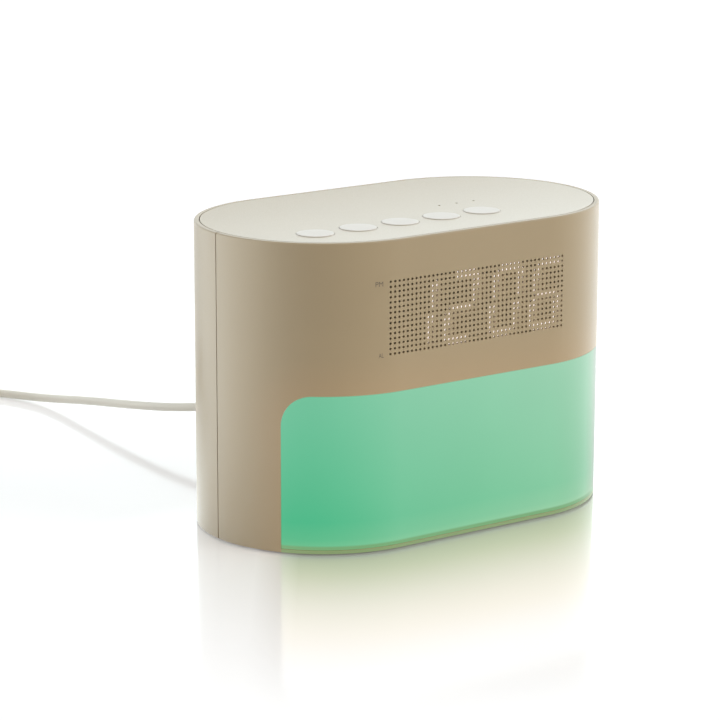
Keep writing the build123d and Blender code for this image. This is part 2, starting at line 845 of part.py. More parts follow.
with BuildPart() as diffuser_flange:
    add(flange_window)
    with BuildSketch():
        outline(wall + fixed_gap)
    extrude(amount=body_height, mode=Mode.INTERSECT)
    with BuildSketch():
        outline(lens_thick)
    extrude(amount=body_height, mode=Mode.SUBTRACT)

with BuildPart() as light_diffuser:
    add(diffuser_window)
    with BuildSketch():
        outline(0)
    extrude(amount=body_height, mode=Mode.INTERSECT)
    with BuildSketch():
        outline(lens_thick)
    extrude(amount=body_height, mode=Mode.SUBTRACT)
    # rebate that clears the base plate
    with BuildSketch():
        outline(wall)
    extrude(amount=base_top + fixed_gap, mode=Mode.SUBTRACT)
    add(diffuser_flange.part)
light_diffuser.part.label = "light_diffuser"
export_step(light_diffuser.part, "parts/light_diffuser.step")

with BuildPart() as light_tray:
    with BuildSketch(Plane.XY.offset(base_top)):
        outline(tray_inset)
        with Locations((0, tray_back)):
            Rectangle(
                2 * tray_half_width, body_depth, align=(Align.CENTER, Align.MAX),
                mode=Mode.INTERSECT,
            )
    extrude(amount=tray_top - base_top)
    with BuildSketch(Plane.XY.offset(base_top + tray_wall)):
        with Locations((0, tray_back - tray_wall)):
            Rectangle(
                2 * (tray_half_width - tray_wall), body_depth, align=(Align.CENTER, Align.MAX)
            )
    extrude(amount=tray_top - base_top - 2 * tray_wall, mode=Mode.SUBTRACT)
    # bosses for the base plate's screws and for the lamp board's
    with BuildSketch(Plane.XY.offset(base_top)):
        with Locations(*tray_boss_places):
            Circle(boss_radius)
    extrude(amount=boss_height)
    with BuildSketch(Plane.XZ.offset(-(tray_back - tray_wall / 2))):
        with Locations(*lamp_screw_places):
            Circle(post_radius)
    extrude(amount=-small_screw_length)
    with BuildSketch(Plane.XY.offset(base_top)):
        with Locations(*tray_boss_places):
            Circle(pilot_radius)
    extrude(amount=boss_height - boss_end, mode=Mode.SUBTRACT)
    with BuildSketch(Plane.XZ.offset(-lamp_board_back)):
        with Locations(*lamp_screw_places):
            Circle(small_pilot_radius)
        with Locations((0, lamp_wire_z)):
            Circle(lamp_wire_hole)
    extrude(amount=-small_screw_length, mode=Mode.SUBTRACT)
light_tray.part.label = "light_tray"
export_step(light_tray.part, "parts/light_tray.step")

with BuildPart() as lamp_board:
    with BuildSketch(Plane.XZ.offset(-lamp_board_back)):
        with Locations((0, tray_middle)):
            RectangleRounded(lamp_board_width, lamp_board_height, board_corner)
        with Locations(*lamp_screw_places):
            Circle(small_pilot_radius, mode=Mode.SUBTRACT)
    extrude(amount=pcb_thick)
lamp_board.part.label = "lamp_board"
export_step(lamp_board.part, "parts/lamp_board.step")

with BuildPart() as lamp_leds:
    with BuildSketch(Plane.XZ.offset(-lamp_board_front)):
        with Locations((0, tray_middle)):
            with GridLocations(lamp_pitch_x, lamp_pitch_z, lamp_columns, lamp_rows):
                RectangleRounded(lamp_size, lamp_size, lamp_corner)
    extrude(amount=lamp_height)
lamp_leds.part.label = "lamp_leds"
export_step(lamp_leds.part, "parts/lamp_leds.step")

# ------------------------------------------------------------------ loudspeaker
with BuildPart() as speaker_gasket:
    with BuildSketch(Plane.XZ.offset(-rear_face)):
        with Locations((0, speaker_z)):
            Circle(speaker_open_radius + gasket_width)
            Circle(speaker_open_radius, mode=Mode.SUBTRACT)
    extrude(amount=gasket_thick)
speaker_gasket.part.label = "speaker_gasket"
export_step(speaker_gasket.part, "parts/speaker_gasket.step")

basket_rim = speaker_open_radius + basket_wall
with BuildPart() as speaker_frame:
    with BuildSketch(Plane.XZ.offset(-speaker_seat)):
        with Locations((0, speaker_z)):
            RectangleRounded(speaker_size, speaker_size, speaker_corner)
        with Locations(*speaker_screw_places):
            Circle(small_pilot_radius, mode=Mode.SUBTRACT)
    extrude(amount=flange_thick)
    # cone-shaped basket, drawn as its half section and turned about the speaker's axis
    with BuildSketch(Plane.YZ):
        Polygon(
            (basket_front, speaker_z),
            (basket_front, speaker_z + basket_rim),
            (basket_back, speaker_z + basket_base_radius),
            (basket_back, speaker_z),
            align=None,
        )
    revolve(axis=Axis((0, 0, speaker_z), (0, 1, 0)))
    with BuildSketch(Plane.YZ):
        Polygon(
            (speaker_seat, speaker_z),
            (speaker_seat, speaker_z + speaker_open_radius),
            (basket_front, speaker_z + speaker_open_radius),
            (basket_back + basket_wall, speaker_z + basket_base_radius - basket_wall),
            (basket_back + basket_wall, speaker_z),
            align=None,
        )
    revolve(axis=Axis((0, 0, speaker_z), (0, 1, 0)), mode=Mode.SUBTRACT)
    # windows between the basket's spokes, and the hole for the voice coil
    with Locations(Plane.XZ.offset(-(basket_front + basket_back) / 2)):
        with Locations((0, speaker_z)):
            with PolarLocations(0, 4):
                with Locations((basket_base_radius, 0)):
                    Box(3 * basket_wall + basket_depth, basket_window, basket_depth / 2,
                        mode=Mode.SUBTRACT)
            Cylinder(coil_radius + 2 * coil_thick, 4 * basket_depth, mode=Mode.SUBTRACT)
speaker_frame.part.label = "speaker_frame"
export_step(speaker_frame.part, "parts/speaker_frame.step")

with BuildPart() as speaker_magnet:
    with BuildSketch(Plane.XZ.offset(-basket_back)):
        with Locations((0, speaker_z)):
            Circle(magnet_radius)
    extrude(amount=magnet_thick)
    with BuildSketch(Plane.XZ.offset(-basket_back)):
        with Locations((0, speaker_z)):
            Circle(coil_radius + 2 * coil_thick)
            Circle(pole_radius, mode=Mode.SUBTRACT)
    extrude(amount=magnet_thick - 2 * flange_thick, mode=Mode.SUBTRACT)
speaker_magnet.part.label = "speaker_magnet"
export_step(speaker_magnet.part, "parts/speaker_magnet.step")

cone_front = speaker_seat - fixed_gap
cone_back = cone_front - cone_depth
with BuildPart() as speaker_surround:
    with BuildSketch(Plane.YZ):
        with BuildLine():
            roll = ThreePointArc(
                (cone_front, speaker_z + cone_rim_radius),
                (cone_front + surround_roll,
                 speaker_z + (cone_rim_radius + speaker_open_radius) / 2),
                (cone_front, speaker_z + speaker_open_radius),
            )
            Line(roll @ 1, (cone_front - cone_thick, speaker_z + speaker_open_radius))
            ThreePointArc(
                (cone_front - cone_thick, speaker_z + speaker_open_radius),
                (cone_front + surround_roll - cone_thick,
                 speaker_z + (cone_rim_radius + speaker_open_radius) / 2),
                (cone_front - cone_thick, speaker_z + cone_rim_radius),
            )
            Line((cone_front - cone_thick, speaker_z + cone_rim_radius), roll @ 0)
        make_face()
    revolve(axis=Axis((0, 0, speaker_z), (0, 1, 0)))
speaker_surround.part.label = "speaker_surround"
export_step(speaker_surround.part, "parts/speaker_surround.step")

with BuildPart() as speaker_cone:
    with BuildSketch(Plane.YZ):
        Polygon(
            (cone_front, speaker_z + cone_rim_radius),
            (cone_back, speaker_z + coil_radius),
            (cone_back, speaker_z),
            (cone_back - cone_thick, speaker_z),
            (cone_back - cone_thick, speaker_z + coil_radius),
            (cone_front - cone_thick, speaker_z + cone_rim_radius),
            align=None,
        )
    revolve(axis=Axis((0, 0, speaker_z), (0, 1, 0)))
speaker_cone.part.label = "speaker_cone"
export_step(speaker_cone.part, "parts/speaker_cone.step")

with BuildPart() as voice_coil:
    with BuildSketch(Plane.XZ.offset(-(cone_back - cone_thick))):
        with Locations((0, speaker_z)):
            Circle(coil_radius + coil_thick / 2)
            Circle(coil_radius - coil_thick / 2, mode=Mode.SUBTRACT)
    extrude(amount=cone_back - cone_thick - basket_back + magnet_thick / 2)
voice_coil.part.label = "voice_coil"
export_step(voice_coil.part, "parts/voice_coil.step")

# ------------------------------------------------------------------ main board
with BuildPart() as main_board:
    with BuildSketch(Plane.XY.offset(main_board_bottom)):
        with Locations((0, main_board_middle)):
            RectangleRounded(
                2 * main_board_half_width, main_board_rear - main_board_front, board_corner
            )
        with Locations(*main_screw_places):
            Circle(small_pilot_radius, mode=Mode.SUBTRACT)
    extrude(amount=pcb_thick)
main_board.part.label = "main_board"
export_step(main_board.part, "parts/main_board.step")

with BuildPart() as main_chips:
    with BuildSketch(Plane.XY.offset(main_board_top)):
        with Locations((0, main_board_middle)):
            with Locations(controller_place):
                Rectangle(controller_size, controller_size)
            with Locations(regulator_place):
                Rectangle(driver_width, driver_width)
        with Locations(*amplifier_places):
            Rectangle(driver_length, driver_width)
    extrude(amount=driver_height)
main_chips.part.label = "main_chips"
export_step(main_chips.part, "parts/main_chips.step")

with BuildPart() as capacitors:
    with BuildSketch(Plane.XY.offset(main_board_top)):
        with Locations(*capacitor_places):
            Circle(capacitor_radius)
    extrude(amount=capacitor_height)
    fillet(capacitors.edges().group_by(Axis.Z)[-1], capacitor_round)
capacitors.part.label = "capacitors"
export_step(capacitors.part, "parts/capacitors.step")

# plug-in headers: ribbons at the front edge, lamp wires between them, speaker and power behind
header_y = main_board_front + header_depth
display_header_x = -26.0
key_header_x = 26.0
speaker_header = (main_board_half_width - speaker_header_inset, main_board_middle - 2.0)
power_header = (0.0, main_board_rear - power_header_inset)
header_places = [
    (display_header_x, header_y),
    (0, header_y),
    (key_header_x, header_y),
    speaker_header,
    power_header,
]
header_top = main_board_top + header_height
with BuildPart() as board_headers:
    with BuildSketch(Plane.XY.offset(main_board_top)):
        with Locations(*header_places):
            Rectangle(header_width, header_depth)
    extrude(amount=header_height)
    with BuildSketch(Plane.XY.offset(header_top)):
        with Locations(*header_places):
            Rectangle(header_width - 2 * header_wall, header_depth - 2 * header_wall)
    extrude(amount=-header_height / 2, mode=Mode.SUBTRACT)
    # right-angle header on the back of the display board, and one under the key board
    with BuildSketch(Plane.XZ.offset(-display_board_back)):
        with Locations((display_header_x, display_header_z)):
            Rectangle(header_width, header_depth)
    extrude(amount=-header_height / 2)
    with BuildSketch(Plane.XY.offset(key_board_bottom)):
        with Locations((key_header_x, key_header_y)):
            Rectangle(header_width, header_depth)
    extrude(amount=-header_height / 2)
board_headers.part.label = "board_headers"
export_step(board_headers.part, "parts/board_headers.step")

# ------------------------------------------------------------------ wires and ribbons inside
def flat_cable(x, route):
    """Ribbon at `x` along a route of (y, z) points."""
    points = [(x, y, z) for y, z in route]
    with BuildPart() as cable:
        with BuildLine() as path:
            FilletPolyline(*points, radius=arc_radii(points))
        with BuildSketch(Plane(origin=path.line @ 0, x_dir=(1, 0, 0), z_dir=path.line % 0)):
            Rectangle(ribbon_width, ribbon_thick)
        sweep(path=path.line)
    return cable


def round_cable(points, radius):
    """Round cable along a route of points, straight runs joined by tangent arcs."""
    with BuildPart() as cable:
        with BuildLine() as path:
            FilletPolyline(*points, radius=arc_radii(points))
        with BuildSketch(Plane(origin=path.line @ 0, z_dir=path.line % 0)):
            Circle(radius)
        sweep(path=path.line)
    return cable


def wire_pair(route):
    """Two thin wires side by side in x along a route of points."""
    wires = [
        round_cable([(x + side * wire_spacing, y, z) for x, y, z in route], wire_radius)
        for side in (-1, 1)
    ]
    with BuildPart() as pair:
        for wire in wires:
            add(wire.part)
    return pair


socket_floor = header_top - header_height / 2

display_ribbon = flat_cable(
    display_header_x,
    [
        (display_board_back + header_height / 2, display_header_z),
        (tray_back - 1.0, display_header_z),
        (header_y - 5.5, tray_top - 1.0),
        (header_y - 2.5, (tray_top + header_top) / 2),
        (header_y, header_top + 10.0),
        (header_y, socket_floor),
    ],
)
display_ribbon.part.label = "display_ribbon"
export_step(display_ribbon.part, "parts/display_ribbon.step")

key_ribbon = flat_cable(
    key_header_x,
    [
        (key_header_y, key_board_bottom - header_height / 2),
        (key_header_y, key_board_bottom - 15.0),
        (header_y - 1.0, tray_top + 6.0),
        (header_y - 2.5, tray_top - 14.0),
        (header_y, header_top + 12.0),
        (header_y, socket_floor),
    ],
)
key_ribbon.part.label = "key_ribbon"
export_step(key_ribbon.part, "parts/key_ribbon.step")

lamp_wires = wire_pair(
    [
        (0, lamp_board_back, lamp_wire_z),
        (0, tray_back + 5.0, lamp_wire_z),
        (0, header_y - 2.5, lamp_wire_z - 1.5),
        (0, header_y, header_top + 3.0),
        (0, header_y, socket_floor),
    ]
)
lamp_wires.part.label = "lamp_wires"
export_step(lamp_wires.part, "parts/lamp_wires.step")

speaker_wire_run = speaker_header[0] - speaker_lead_x
speaker_lead_z = speaker_z - speaker_lead_drop
speaker_wires = wire_pair(
    [
        (speaker_lead_x, basket_front, speaker_lead_z),
        (speaker_lead_x, basket_front - 6.5, speaker_lead_z),
        (speaker_lead_x + speaker_wire_run * 0.31, basket_front - 14.5, speaker_lead_z - 3.0),
        (speaker_lead_x + speaker_wire_run * 0.69, speaker_header[1] + 5.0, speaker_lead_z - 8.5),
        (speaker_header[0], speaker_header[1], header_top + 4.6),
        (speaker_header[0], speaker_header[1], socket_floor),
    ]
)
speaker_wires.part.label = "speaker_wires"
export_step(speaker_wires.part, "parts/speaker_wires.step")

gland_inside = rear_face - gland_flange_thick
power_wires = wire_pair(
    [
        (0, gland_inside, gland_z),
        (0, gland_inside - 6.7, gland_z),
        (0, power_header[1] + 3.5, gland_z + 0.8),
        (0, power_header[1], header_top + 2.2),
        (0, power_header[1], socket_floor),
    ]
)
power_wires.part.label = "power_wires"
export_step(power_wires.part, "parts/power_wires.step")


# ------------------------------------------------------------------ screws
def screws(seat, places, inward, length, radius, head_radius, head_thick):
    """Pan-head screws whose heads lie on the plane `seat`; `inward` is 1 along its normal."""
    with BuildPart() as group:
        with BuildSketch(seat):
            with Locations(*places):
                Circle(head_radius)
        extrude(amount=-inward * head_thick)
        with BuildSketch(seat):
            with Locations(*places):
                Circle(radius)
        extrude(amount=inward * length)
    return group


large_screw = (screw_radius, screw_head_radius, screw_head_thick)
small_screw = (small_screw_radius, small_head_radius, small_head_thick)

base_screws = screws(
    Plane.XY.offset(base_bottom + screw_head_thick), base_screw_places, 1, screw_length, *large_screw
)
base_screws.part.label = "base_screws"
export_step(base_screws.part, "parts/base_screws.step")

panel_screws = screws(
    Plane.XY.offset(tab_bottom),
    front_post_places + rear_post_places,
    1,
    screw_length,
    *large_screw,
)
panel_screws.part.label = "panel_screws"
export_step(panel_screws.part, "parts/panel_screws.step")

display_screws = screws(
    Plane.XZ.offset(-display_board_back), display_post_places, 1, small_screw_length, *small_screw
)
display_screws.part.label = "display_screws"
export_step(display_screws.part, "parts/display_screws.step")

key_board_screws = screws(
    Plane.XY.offset(key_board_bottom), key_post_places, 1, small_screw_length, *small_screw
)
key_board_screws.part.label = "key_board_screws"
export_step(key_board_screws.part, "parts/key_board_screws.step")

main_board_screws = screws(
    Plane.XY.offset(main_board_top), main_screw_places, -1, small_screw_length, *small_screw
)
main_board_screws.part.label = "main_board_screws"
export_step(main_board_screws.part, "parts/main_board_screws.step")

lamp_board_screws = screws(
    Plane.XZ.offset(-lamp_board_front), lamp_screw_places, -1, small_screw_length, *small_screw
)
lamp_board_screws.part.label = "lamp_board_screws"
export_step(lamp_board_screws.part, "parts/lamp_board_screws.step")

speaker_screws = screws(
    Plane.XZ.offset(-basket_front),
    speaker_screw_places,
    -1,
    flange_thick + gasket_thick - fixed_gap,
    *small_screw,
)
speaker_screws.part.label = "speaker_screws"
export_step(speaker_screws.part, "parts/speaker_screws.step")

# ------------------------------------------------------------------ strain relief and lead
gland_tip = end_radius + gland_length
with BuildPart() as cord_gland:
    with BuildSketch(Plane.YZ):
        Polygon(
            (gland_inside, gland_z),
            (gland_inside, gland_z + gland_flange_radius),
            (rear_face, gland_z + gland_flange_radius),
            (rear_face, gland_z + gland_neck_radius),
            (end_radius, gland_z + gland_neck_radius),
            (end_radius, gland_z + gland_flange_radius),
            (end_radius + gland_flange_thick, gland_z + gland_flange_radius),
            (end_radius + gland_flange_thick, gland_z + gland_neck_radius),
            (gland_tip, gland_z + gland_tip_radius),
            (gland_tip, gland_z),
            align=None,
        )
    revolve(axis=Axis((0, 0, gland_z), (0, 1, 0)))
    # grooves that let it bend
    with BuildSketch(Plane.YZ):
        for k in range(gland_grooves):
            groove_y = end_radius + gland_groove_start + k * gland_groove_pitch
            with Locations((groove_y, gland_z + gland_groove_floor - k * gland_groove_taper)):
                Rectangle(
                    gland_groove_width, gland_flange_radius, align=(Align.CENTER, Align.MIN)
                )
    revolve(axis=Axis((0, 0, gland_z), (0, 1, 0)), mode=Mode.SUBTRACT)
cord_gland.part.label = "cord_gland"
export_step(cord_gland.part, "parts/cord_gland.step")

# from the strain relief, down to the table behind the clock and on to the coil
cord_route = [
    (0.0, gland_tip, gland_z),
    (0.0, gland_tip + 15.0, gland_z),
    (-11.0, 98.0, 18.4),
    (-20.5, 121.0, 14.3),
    (-24.8, 150.0, 10.4),
    (-26.8, 178.0, 6.6),
    (-29.5, 203.0, 2.6),
    (-37.0, 222.0, 1.7),
    (-49.0, 243.0, 1.66),
]
# from the coil's top turn down to the plug
tail_route = [
    (-89.9, 239.5, 11.55),
    (-93.2, 227.0, 11.3),
    (-96.8, 213.0, 7.2),
    (-101.3, 199.5, 4.0),
    (-104.3, 187.5, 4.0),
]

power_cord = round_cable(cord_route, cord_radius)
power_cord.part.label = "power_cord"
export_step(power_cord.part, "parts/power_cord.step")

cord_tail = round_cable(tail_route, cord_radius)
cord_tail.part.label = "cord_tail"
export_step(cord_tail.part, "parts/cord_tail.step")

for name, route, tube in (
    ("power_cord", cord_route, power_cord),
    ("cord_tail", tail_route, cord_tail),
):
    length = tube.part.volume / (pi * cord_radius**2)
    print(name, "bend radii", [round(r, 1) for r in arc_radii(route)], "length", round(length, 1))

coil_x, coil_y = coil_centre
with BuildPart() as cord_coil:
    with BuildSketch(Plane(origin=(coil_x, coil_y, 0), x_dir=(1, 0, 0), z_dir=(0, -1, 0))):
        with Locations(((coil_inner_radius + coil_outer_radius) / 2, coil_height / 2)):
            RectangleRounded(
                coil_outer_radius - coil_inner_radius, coil_height, coil_section_round
            )
    revolve(axis=Axis((coil_x, coil_y, 0), (0, 0, 1)))
    # dent where the tie passes beneath
    with Locations((coil_x, coil_y, 0)):
        with PolarLocations((coil_inner_radius + coil_outer_radius) / 2, 1, start_angle=tie_angle):
            Box(
                2 * (coil_outer_radius - coil_inner_radius),
                tie_width + 2 * fixed_gap,
                2 * (tie_thick + fixed_gap),
                mode=Mode.SUBTRACT,
            )
cord_coil.part.label = "cord_coil"
export_step(cord_coil.part, "parts/cord_coil.step")

tie_out = Vector(cos(radians(tie_angle)), sin(radians(tie_angle)))
tie_inner = coil_inner_radius - tie_slack
tie_outer = coil_outer_radius + fixed_gap
tie_plane = Plane(
    origin=(coil_x, coil_y, 0), x_dir=tie_out, z_dir=(tie_out.Y, -tie_out.X, 0)
)
with BuildPart() as coil_tie:
    with BuildSketch(tie_plane):
        with Locations(((tie_inner + tie_outer) / 2, (coil_height + fixed_gap) / 2 + tie_thick)):
            Rectangle(
                tie_outer - tie_inner + 2 * tie_thick, coil_height + fixed_gap + 2 * tie_thick
            )
            Rectangle(tie_outer - tie_inner, coil_height + fixed_gap, mode=Mode.SUBTRACT)
    extrude(amount=tie_width / 2, both=True)
coil_tie.part.label = "coil_tie"
export_step(coil_tie.part, "parts/coil_tie.step")

# ------------------------------------------------------------------ USB plug
plug_end = Vector(*tail_route[-1])
plug_dir = (plug_end - Vector(*tail_route[-2])).normalized()
plug_plane = Plane(origin=plug_end, x_dir=(plug_dir.Y, -plug_dir.X, 0), z_dir=plug_dir)
grip_front = plug_boot_length + grip_length
with BuildPart() as usb_plug_grip:
    with BuildSketch(plug_plane):
        Circle(cord_radius + plug_boot_wall)
    with BuildSketch(plug_plane.offset(plug_boot_length)):
        Circle(plug_boot_radius)
    loft()
    with BuildSketch(plug_plane.offset(plug_boot_length)):
        RectangleRounded(grip_width, grip_height, grip_round)
    extrude(amount=grip_length)
usb_plug_grip.part.label = "usb_plug_grip"
export_step(usb_plug_grip.part, "parts/usb_plug_grip.step")

with BuildPart() as usb_plug_shell:
    with BuildSketch(plug_plane.offset(grip_front)):
        Rectangle(shell_width, shell_height)
        Rectangle(shell_width - 2 * shell_wall, shell_height - 2 * shell_wall, mode=Mode.SUBTRACT)
    extrude(amount=shell_length)
usb_plug_shell.part.label = "usb_plug_shell"
export_step(usb_plug_shell.part, "parts/usb_plug_shell.step")

with BuildPart() as usb_plug_tongue:
    with BuildSketch(plug_plane.offset(grip_front)):
        with Locations((0, (shell_height - tongue_plate) / 2 - shell_wall)):
            Rectangle(tongue_width, tongue_plate)
    extrude(amount=shell_length - tongue_recess)
usb_plug_tongue.part.label = "usb_plug_tongue"
export_step(usb_plug_tongue.part, "parts/usb_plug_tongue.step")
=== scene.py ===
"""The looks of a sunrise alarm clock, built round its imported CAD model. Metres."""

import json
import math

import bpy
from mathutils import Matrix, Vector


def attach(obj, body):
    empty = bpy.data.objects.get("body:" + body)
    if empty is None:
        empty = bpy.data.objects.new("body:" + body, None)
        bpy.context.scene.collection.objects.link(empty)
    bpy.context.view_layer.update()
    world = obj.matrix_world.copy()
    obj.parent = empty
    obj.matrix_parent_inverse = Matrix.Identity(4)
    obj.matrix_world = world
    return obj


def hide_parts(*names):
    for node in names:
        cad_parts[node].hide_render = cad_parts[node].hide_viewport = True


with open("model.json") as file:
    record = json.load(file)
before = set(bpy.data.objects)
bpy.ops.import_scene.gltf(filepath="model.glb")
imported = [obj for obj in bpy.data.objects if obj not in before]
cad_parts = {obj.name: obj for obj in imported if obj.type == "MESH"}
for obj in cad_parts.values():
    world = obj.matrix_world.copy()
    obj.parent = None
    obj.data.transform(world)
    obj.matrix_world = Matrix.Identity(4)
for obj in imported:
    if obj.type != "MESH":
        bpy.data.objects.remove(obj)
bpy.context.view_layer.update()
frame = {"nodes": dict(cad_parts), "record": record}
scene = bpy.context.scene
MM = 0.001

# ---------------------------------------------------------------- sizes shared with part.py
END_CENTRE = 33.7 * MM       # centre of the casing's round end, in x
END_RADIUS = 46.0 * MM
CORD_RADIUS = 1.65 * MM

# ---------------------------------------------------------------- camera
VIEW_AZIMUTH = math.radians(-36.264)
VIEW_ELEVATION = math.radians(13.479)
VIEW_ROLL = 0.00203
VIEW_DISTANCE = 1.12147
VIEW_TARGET = Vector((-0.017688, 0.0, 0.056806))
LENS_MM = 155.32
SENSOR_MM = 36.0

toward_camera = Vector((
    math.sin(VIEW_AZIMUTH) * math.cos(VIEW_ELEVATION),
    -math.cos(VIEW_AZIMUTH) * math.cos(VIEW_ELEVATION),
    math.sin(VIEW_ELEVATION),
))


def make_camera():
    """The photo's point of view."""
    level = Vector((0, 0, 1)).cross(toward_camera).normalized()
    upright = toward_camera.cross(level)
    right = math.cos(VIEW_ROLL) * level + math.sin(VIEW_ROLL) * upright
    up = -math.sin(VIEW_ROLL) * level + math.cos(VIEW_ROLL) * upright
    data = bpy.data.cameras.new("camera")
    data.lens = LENS_MM
    data.sensor_width = SENSOR_MM
    data.clip_start = 0.05
    data.clip_end = 60.0
    camera = bpy.data.objects.new("camera", data)
    turn = Matrix((right, up, toward_camera)).transposed()
    camera.matrix_world = (
        Matrix.Translation(VIEW_TARGET + VIEW_DISTANCE * toward_camera) @ turn.to_4x4()
    )
    scene.collection.objects.link(camera)
    scene.camera = camera


make_camera()

# ---------------------------------------------------------------- material helpers


def new_material(name):
    """A material with an empty tree, its Principled shader and its object coordinates."""
    material = bpy.data.materials.new(name)
    material.use_nodes = True
    tree = material.node_tree
    tree.nodes.clear()
    output = tree.nodes.new("ShaderNodeOutputMaterial")
    shader = tree.nodes.new("ShaderNodeBsdfPrincipled")
    tree.links.new(shader.outputs["BSDF"], output.inputs["Surface"])
    place = tree.nodes.new("ShaderNodeTexCoord").outputs["Object"]
    return material, tree, shader, place


def noise(tree, place, size, detail=3.0):
    """Noise whose features are about `size` metres across."""
    node = tree.nodes.new("ShaderNodeTexNoise")
    node.inputs["Scale"].default_value = 1.0 / size
    node.inputs["Detail"].default_value = detail
    tree.links.new(place, node.inputs["Vector"])
    return node.outputs["Fac"]


def spread(tree, value, low, high, start=0.3, end=0.7):
    """`value` from start to end, mapped to low to high."""
    node = tree.nodes.new("ShaderNodeMapRange")
    node.inputs["From Min"].default_value = start
    node.inputs["From Max"].default_value = end
    node.inputs["To Min"].default_value = low
    node.inputs["To Max"].default_value = high
    tree.links.new(value, node.inputs["Value"])
    return node.outputs["Result"]


def maths(tree, operation, first, second=None):
    """One step of arithmetic; each operand is a socket or a number."""
    node = tree.nodes.new("ShaderNodeMath")
    node.operation = operation
    for socket, operand in zip(node.inputs, (first, second)):
        if isinstance(operand, (int, float)):
            socket.default_value = operand
        elif operand is not None:
            tree.links.new(operand, socket)
    return node.outputs[0]


def ramp(tree, value, stops):
    """Colours along `value`; stops are (position, linear colour)."""
    node = tree.nodes.new("ShaderNodeValToRGB")
    elements = node.color_ramp.elements
    while len(elements) < len(stops):
        elements.new(1.0)
    for element, (position, colour) in zip(elements, stops):
        element.position = position
        element.color = (*colour, 1.0)
    tree.links.new(value, node.inputs["Fac"])
    return node.outputs["Color"]


def mix(tree, factor, first, second):
    """Two colours mixed by a factor; each is a socket or a linear colour."""
    node = tree.nodes.new("ShaderNodeMix")
    node.data_type = "RGBA"
    tree.links.new(factor, node.inputs["Factor"])
    for socket, colour in ((node.inputs["A"], first), (node.inputs["B"], second)):
        if isinstance(colour, tuple):
            socket.default_value = (*colour, 1.0)
        else:
            tree.links.new(colour, socket)
    return node.outputs["Result"]


def bump(tree, shader, height, distance, strength=0.5):
    """A fine relief of the surface, `distance` deep."""
    node = tree.nodes.new("ShaderNodeBump")
    node.inputs["Strength"].default_value = strength
    node.inputs["Distance"].default_value = distance
    tree.links.new(height, node.inputs["Height"])
    tree.links.new(node.outputs["Normal"], shader.inputs["Normal"])


def surface(name, colour, rough, vary=0.06, cloud=0.012, grain=0.0004, relief=0.00002,
            metallic=0.0, coat=0.0, **sockets):
    """A finish with soft clouds of tone, uneven roughness and a fine grain."""
    material, tree, shader, place = new_material(name)
    tone = noise(tree, place, cloud)
    darker = tuple(c * (1.0 - vary) for c in colour)
    lighter = tuple(min(c * (1.0 + vary), 1.0) for c in colour)
    tree.links.new(ramp(tree, tone, [(0.3, darker), (0.7, lighter)]), shader.inputs["Base Color"])
    fine = noise(tree, place, grain, 2.0)
    tree.links.new(
        spread(tree, fine, max(rough - 0.05, 0.02), min(rough + 0.05, 1.0)),
        shader.inputs["Roughness"],
    )
    bump(tree, shader, fine, relief)
    shader.inputs["Metallic"].default_value = metallic
    shader.inputs["Coat Weight"].default_value = coat
    for socket, value in sockets.items():
        shader.inputs[socket.replace("_", " ")].default_value = value
    return material


def linear(*levels):
    """Linear colour of an sRGB colour, 0 to 255."""
    shares = [level / 255 for level in levels]
    return tuple(s / 12.92 if s <= 0.04045 else ((s + 0.055) / 1.055) ** 2.4 for s in shares)


def add_colour(tree, first, second):
    """The sum of two colours."""
    node = tree.nodes.new("ShaderNodeMix")
    node.data_type = "RGBA"
    node.blend_type = "ADD"
    node.inputs["Factor"].default_value = 1.0
    tree.links.new(first, node.inputs["A"])
    tree.links.new(second, node.inputs["B"])
    return node.outputs["Result"]


def axes(tree, place):
    """The x, y and z of a place."""
    node = tree.nodes.new("ShaderNodeSeparateXYZ")
    tree.links.new(place, node.inputs["Vector"])
    return node.outputs["X"], node.outputs["Y"], node.outputs["Z"]


def along_casing(tree, x, y):
    """Length along the casing's outer face, from the middle of the front."""
    flat = maths(tree, "MAXIMUM", maths(tree, "MINIMUM", x, END_CENTRE), -END_CENTRE)
    turned = maths(tree, "ARCTAN2", maths(tree, "SUBTRACT", x, flat), maths(tree, "MULTIPLY", y, -1.0))
    return maths(tree, "ADD", flat, maths(tree, "MULTIPLY", turned, END_RADIUS))


# ---------------------------------------------------------------- materials
CASING_COLOUR = linear(160, 140, 106)
CASING_ROUGH = 0.33
CASING_TEXTURE = {"vary": 0.015, "cloud": 0.03, "Specular_IOR_Level": 0.65}
PANEL_SHEEN = 0.6            # clear coat of the top panel at its front edge

LENS_EDGE = 77.46 * MM       # of the diffuser, along the casing from the middle of the front
LENS_TOP = 56.92 * MM
LENS_CORNER = 11.0 * MM
LENS_BASE = (0.03, 0.06, 0.045)
LENS_COAT_IOR = 1.5
LENS_COAT_ROUGH = (0.28, 0.34)
LENS_CLOUDS = (0.985, 1.015)
LENS_ACROSS = [              # colour it emits, from the left end to the right
    (-72.0, (0.010, 0.405, 0.175)),
    (-55.0, (0.050, 0.445, 0.210)),
    (-34.0, (0.100, 0.470, 0.240)),
    (0.0, (0.130, 0.485, 0.255)),
    (34.0, (0.175, 0.510, 0.285)),
    (55.0, (0.170, 0.460, 0.250)),
    (61.0, (0.140, 0.350, 0.170)),
    (65.0, (0.110, 0.200, 0.090)),
]
LENS_MIRRORED = [            # painted reflection: the warmer colour the diffuser shows only in glossy surfaces, by height
    (0.0, (0.15, 0.18, 0.0)),
    (7.0, (0.28, 0.30, 0.04)),
    (18.0, (0.57, 0.50, 0.28)),
    (32.0, (0.90, 0.72, 0.48)),
    (45.0, (1.0, 0.95, 0.90)),
]
LENS_UP = [                  # what is added to that colour, by height
    (3.7, (0.070, 0.035, 0.022)),
    (5.5, (0.035, 0.015, 0.010)),
    (12.0, (0.0, 0.0, 0.0)),
    (57.0, (0.090, 0.050, 0.080)),
]
